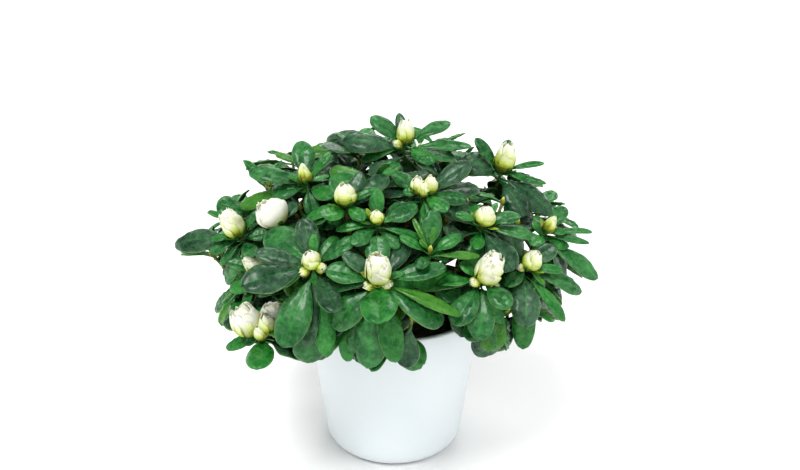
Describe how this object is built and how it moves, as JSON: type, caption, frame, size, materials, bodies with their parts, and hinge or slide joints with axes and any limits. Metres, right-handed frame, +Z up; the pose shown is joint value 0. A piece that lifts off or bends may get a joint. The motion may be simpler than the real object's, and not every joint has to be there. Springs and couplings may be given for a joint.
{
  "type": "potted azalea shrub",
  "caption": "Low domed evergreen azalea in bud with short main stem, boughs and masses of leathery leaves, growing in peat in a plain tapered glazed pot.",
  "frame": {"origin": "middle of the pot's flat underside", "axes": "+Z up along the pot's axis, the plant's best side faces -Y, +X to the right of a viewer who faces that side"},
  "size_m": [0.3118, 0.2943, 0.2717],
  "materials": {
    "glaze": "smooth white ceramic glaze with a faint cool tint",
    "peat": "damp dark brown crumbly peat",
    "bark": "matt brown woody bark, thinly fissured",
    "foliage": "satin leathery dark green leaves, with cream-white buds and flowers"
  },
  "bodies": {
    "root": {"pot": "glaze", "peat": "peat", "main_stem": "bark", "bough_upper_front": "bark", "bough_upper_right": "bark", "bough_upper_back": "bark", "bough_upper_left": "bark", "bough_lower_front_left": "bark", "bough_lower_front_right": "bark", "bough_lower_right": "bark", "bough_lower_back_right": "bark", "bough_lower_back": "bark", "bough_lower_back_left": "bark", "bough_lower_left": "bark", "foliage_top": "foliage", "foliage_upper_front": "foliage", "foliage_upper_right": "foliage", "foliage_upper_back": "foliage", "foliage_upper_left": "foliage", "foliage_lower_front_left": "foliage", "foliage_lower_front_right": "foliage", "foliage_lower_right": "foliage", "foliage_lower_back_right": "foliage", "foliage_lower_back": "foliage", "foliage_lower_back_left": "foliage", "foliage_lower_left": "foliage"}
  },
  "joints": []
}
